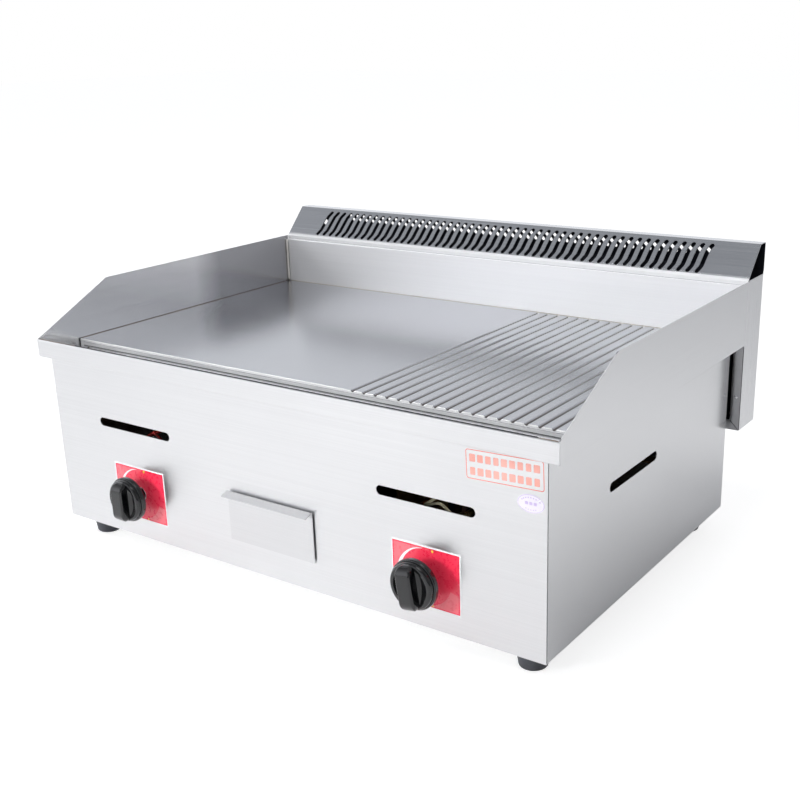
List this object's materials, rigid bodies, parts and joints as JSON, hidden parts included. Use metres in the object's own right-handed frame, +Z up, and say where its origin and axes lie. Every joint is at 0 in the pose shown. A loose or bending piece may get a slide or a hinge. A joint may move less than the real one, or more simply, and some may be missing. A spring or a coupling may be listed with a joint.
{
  "type": "flat top griddle",
  "caption": "Countertop gas griddle with a half smooth, half ribbed plate, splash guards, a louvred rear flue, front controls and a pull-out grease drawer.",
  "frame": {"origin": "on the surface the feet stand on, under the middle of the outer box", "axes": "+X to the griddle's right seen from the front, +Y to the back, +Z up"},
  "size_m": [0.73, 0.558, 0.354],
  "materials": {
    "casing_steel": "satin stainless sheet with a fine grain",
    "cover_steel": "brushed stainless sheet, grain along X",
    "plate_steel": "ground steel plate, seasoned lightly",
    "galvanised_steel": "zinc-coated sheet",
    "heated_steel": "steel tinted brown and blue by heat",
    "gas_pipe": "dark painted pipe",
    "brass": "turned brass",
    "cast_valve": "die-cast, slightly rough",
    "stem_steel": "plated steel",
    "copper": "drawn copper tube",
    "ceramic": "glazed ceramic",
    "lead_red": "red silicone insulation",
    "lead_cream": "cream silicone insulation",
    "knob_black": "glossy moulded phenolic",
    "foot_rubber": "matt moulded rubber",
    "fasteners": "bright zinc-plated steel",
    "label_red": "printed polyester label",
    "sticker_white": "printed paper-backed film",
    "sticker_violet": "printed film"
  },
  "bodies": {
    "root": {"front_panel": "casing_steel", "left_side_panel": "casing_steel", "right_side_panel": "casing_steel", "rear_panel": "casing_steel", "base_panel": "galvanised_steel", "front_rim": "casing_steel", "grease_trough": "galvanised_steel", "trough_ends": "galvanised_steel", "plate_shelf": "casing_steel", "drain_spout": "galvanised_steel", "left_splash_guard": "casing_steel", "right_splash_guard": "casing_steel", "backsplash": "casing_steel", "griddle_plate": "plate_steel", "centre_beam": "galvanised_steel", "flue_duct": "casing_steel", "flue_cover": "cover_steel", "flue_screws": "fasteners", "gas_manifold": "gas_pipe", "inlet_union": "brass", "warning_sticker": "sticker_white", "oval_sticker": "sticker_violet", "foot_screws": "fasteners", "casing_screws": "fasteners", "front_left_foot": "foot_rubber", "front_right_foot": "foot_rubber", "rear_left_foot": "foot_rubber", "rear_right_foot": "foot_rubber", "left_burner": "heated_steel", "left_burner_stand": "heated_steel", "left_heat_shield": "heated_steel", "left_gas_valve": "cast_valve", "left_injector": "brass", "left_pilot_tube": "copper", "left_electrode": "ceramic", "left_ignition_lead": "lead_red", "left_control_label": "label_red", "left_drawer_rail": "galvanised_steel", "right_burner": "heated_steel", "right_burner_stand": "heated_steel", "right_heat_shield": "heated_steel", "right_gas_valve": "cast_valve", "right_injector": "brass", "right_pilot_tube": "copper", "right_electrode": "ceramic", "right_ignition_lead": "lead_cream", "right_control_label": "label_red", "right_drawer_rail": "galvanised_steel"},
    "left_valve_turn": {"left_valve_plug": "brass"},
    "left_control": {"left_stem": "stem_steel", "left_knob": "knob_black"},
    "left_shutter": {"left_air_shutter": "heated_steel"},
    "right_valve_turn": {"right_valve_plug": "brass"},
    "right_control": {"right_stem": "stem_steel", "right_knob": "knob_black"},
    "right_shutter": {"right_air_shutter": "heated_steel"},
    "drawer": {"grease_drawer": "galvanised_steel", "drawer_front": "casing_steel"}
  },
  "joints": [
    {"name": "left_knob_turn", "type": "hinge", "parent": "root", "child": "left_valve_turn", "pos_m": [-0.2106, -0.2395, 0.0834], "axis": [0, -1, 0], "range_deg": [0, 180]},
    {"name": "left_knob_push", "type": "slide", "parent": "left_valve_turn", "child": "left_control", "axis": [0, 1, 0], "range_m": [0, 0.003], "stiffness_N_per_m": 3000, "springref_m": -0.001},
    {"name": "left_shutter_turn", "type": "hinge", "parent": "root", "child": "left_shutter", "pos_m": [-0.2106, -0.14, 0.122], "axis": [0, -1, 0], "range_deg": [0, 45]},
    {"name": "right_knob_turn", "type": "hinge", "parent": "root", "child": "right_valve_turn", "pos_m": [0.2106, -0.2395, 0.0834], "axis": [0, -1, 0], "range_deg": [-8.5, 171.5]},
    {"name": "right_knob_push", "type": "slide", "parent": "right_valve_turn", "child": "right_control", "axis": [0, 1, 0], "range_m": [0, 0.003], "stiffness_N_per_m": 3000, "springref_m": -0.001},
    {"name": "right_shutter_turn", "type": "hinge", "parent": "root", "child": "right_shutter", "pos_m": [0.2106, -0.14, 0.122], "axis": [0, -1, 0], "range_deg": [0, 45]},
    {"name": "drawer_slide", "type": "slide", "parent": "root", "child": "drawer", "axis": [0, -1, 0], "range_m": [0, 0.25]}
  ]
}
